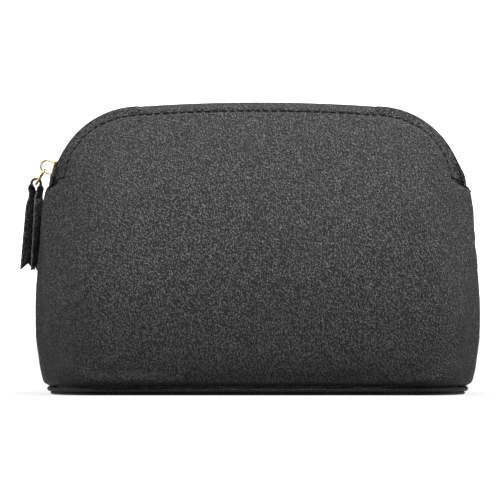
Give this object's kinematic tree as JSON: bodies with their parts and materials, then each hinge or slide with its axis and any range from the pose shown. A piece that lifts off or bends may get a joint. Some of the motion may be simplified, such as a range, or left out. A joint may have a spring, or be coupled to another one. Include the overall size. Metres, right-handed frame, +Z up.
{
  "type": "makeup bag",
  "caption": "Padded leather makeup bag with an arched zip top, flat base, lined interior with slip pocket, and a zip slider with ring and folded strap pull.",
  "frame": {"origin": "centre of the underside of the base panel, where the bag stands", "axes": "+X along the width towards the right-hand zip end, with the zip slider parked on the -X side; the front faces -Y; +Z up"},
  "size_m": [0.2314, 0.0768, 0.147],
  "materials": {
    "outer_leather": "fine pebbled grain, satin",
    "pull_leather": "smooth fine grain, satin",
    "foam": "open-cell padding, matte",
    "lining": "plain-weave polyester, slight sheen",
    "board": "pressed fibre board, matte",
    "zip_tape": "herringbone-woven tape, matte",
    "zip_metal": "polished pale gold",
    "slider_metal": "polished pale gold",
    "thread": "twisted polyester thread"
  },
  "bodies": {
    "bag": {"front_panel": "outer_leather", "back_panel": "outer_leather", "base_panel": "outer_leather", "base_welt": "outer_leather", "zip_end_tab_left": "outer_leather", "zip_end_tab_right": "outer_leather", "front_foam": "foam", "back_foam": "foam", "front_lining": "lining", "back_lining": "lining", "base_lining": "lining", "slip_pocket": "lining", "side_binding_left": "lining", "side_binding_right": "lining", "base_board": "board", "front_zip_tape": "zip_tape", "back_zip_tape": "zip_tape", "front_zip_teeth": "zip_metal", "back_zip_teeth": "zip_metal", "zip_top_stops": "zip_metal", "zip_bottom_stop": "zip_metal"},
    "slider": {"slider_body": "slider_metal", "slider_bail": "slider_metal"},
    "ring": {"jump_ring": "slider_metal"},
    "pull": {"pull_strap": "pull_leather", "pull_stitches": "thread"}
  },
  "joints": [
    {"name": "slider_travel", "type": "hinge", "parent": "bag", "child": "slider", "pos_m": [-0.06, 0, 0.101], "axis": [0, 1, 0], "range_deg": [0, 62]},
    {"name": "ring_swing", "type": "hinge", "parent": "slider", "child": "ring", "pos_m": [-0.10751, 0, 0.11303], "axis": [0, 1, 0], "range_deg": [0, 120]},
    {"name": "pull_swing", "type": "hinge", "parent": "ring", "child": "pull", "pos_m": [-0.11192, 0, 0.10565], "axis": [0, 1, 0], "range_deg": [0, 60]}
  ]
}
